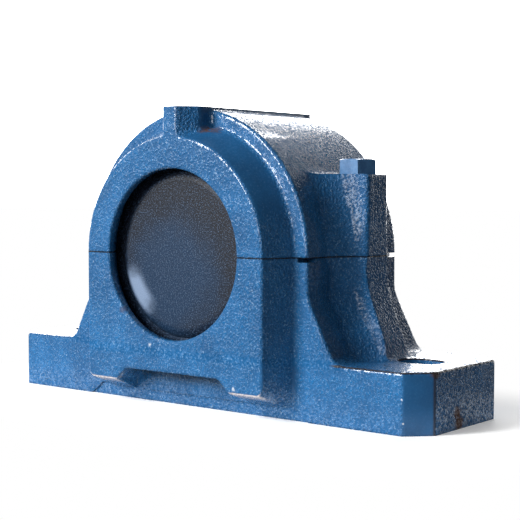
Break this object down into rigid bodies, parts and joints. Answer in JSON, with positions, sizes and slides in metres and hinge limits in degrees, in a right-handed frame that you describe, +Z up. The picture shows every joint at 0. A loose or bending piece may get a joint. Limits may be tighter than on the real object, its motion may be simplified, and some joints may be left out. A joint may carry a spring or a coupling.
{
  "type": "split plummer block",
  "caption": "Split bearing housing on a slotted foot, cap held by hexagon bolts, blind cover in front, self-aligning bearing on an adapter sleeve inside.",
  "frame": {"origin": "centre of the foot's underside, on the plane the block stands on", "axes": "+X along the foot, +Y along the shaft towards the open, sealed end, +Z up; the blind end cover faces -Y"},
  "size_m": [0.28, 0.112, 0.1554],
  "materials": {
    "blue_paint": "orange-peel paint on sand-cast iron",
    "dark_steel": "dark, slightly oily",
    "bright_steel": "turned",
    "bearing_steel": "ground and polished",
    "ball_steel": "mirror polished",
    "cage_polymer": "moulded",
    "cover_plastic": "smooth, satin",
    "seal_rubber": "matt"
  },
  "bodies": {
    "housing": {"housing_base": "blue_paint", "housing_cap": "blue_paint", "cap_bolt_left": "blue_paint", "cap_bolt_right": "blue_paint", "dowel_pin_front": "bright_steel", "dowel_pin_rear": "bright_steel", "grease_plug": "dark_steel", "end_cover": "cover_plastic", "seal_upper": "seal_rubber", "seal_lower": "seal_rubber", "locating_ring_front": "bright_steel", "locating_ring_rear": "bright_steel", "outer_ring": "bearing_steel"},
    "shaft_set": {"inner_ring": "bearing_steel", "adapter_sleeve": "bright_steel", "lock_washer": "bright_steel", "lock_nut": "bright_steel"},
    "cage_set": {"cage_front": "cage_polymer", "cage_rear": "cage_polymer", "ball_front_01": "ball_steel", "ball_front_02": "ball_steel", "ball_front_03": "ball_steel", "ball_front_04": "ball_steel", "ball_front_05": "ball_steel", "ball_front_06": "ball_steel", "ball_front_07": "ball_steel", "ball_front_08": "ball_steel", "ball_front_09": "ball_steel", "ball_front_10": "ball_steel", "ball_front_11": "ball_steel", "ball_front_12": "ball_steel", "ball_front_13": "ball_steel", "ball_front_14": "ball_steel", "ball_front_15": "ball_steel", "ball_front_16": "ball_steel", "ball_rear_01": "ball_steel", "ball_rear_02": "ball_steel", "ball_rear_03": "ball_steel", "ball_rear_04": "ball_steel", "ball_rear_05": "ball_steel", "ball_rear_06": "ball_steel", "ball_rear_07": "ball_steel", "ball_rear_08": "ball_steel", "ball_rear_09": "ball_steel", "ball_rear_10": "ball_steel", "ball_rear_11": "ball_steel", "ball_rear_12": "ball_steel", "ball_rear_13": "ball_steel", "ball_rear_14": "ball_steel", "ball_rear_15": "ball_steel", "ball_rear_16": "ball_steel"}
  },
  "joints": [
    {"name": "shaft_spin", "type": "hinge", "parent": "housing", "child": "shaft_set", "pos_m": [0, 0, 0.08], "axis": [0, 1, 0], "continuous": true},
    {"name": "cage_spin", "type": "hinge", "parent": "housing", "child": "cage_set", "pos_m": [0, 0, 0.08], "axis": [0, 1, 0], "continuous": true}
  ],
  "couplings": [
    {"joint": "cage_spin", "follows": "shaft_spin", "ratio": 0.431}
  ]
}
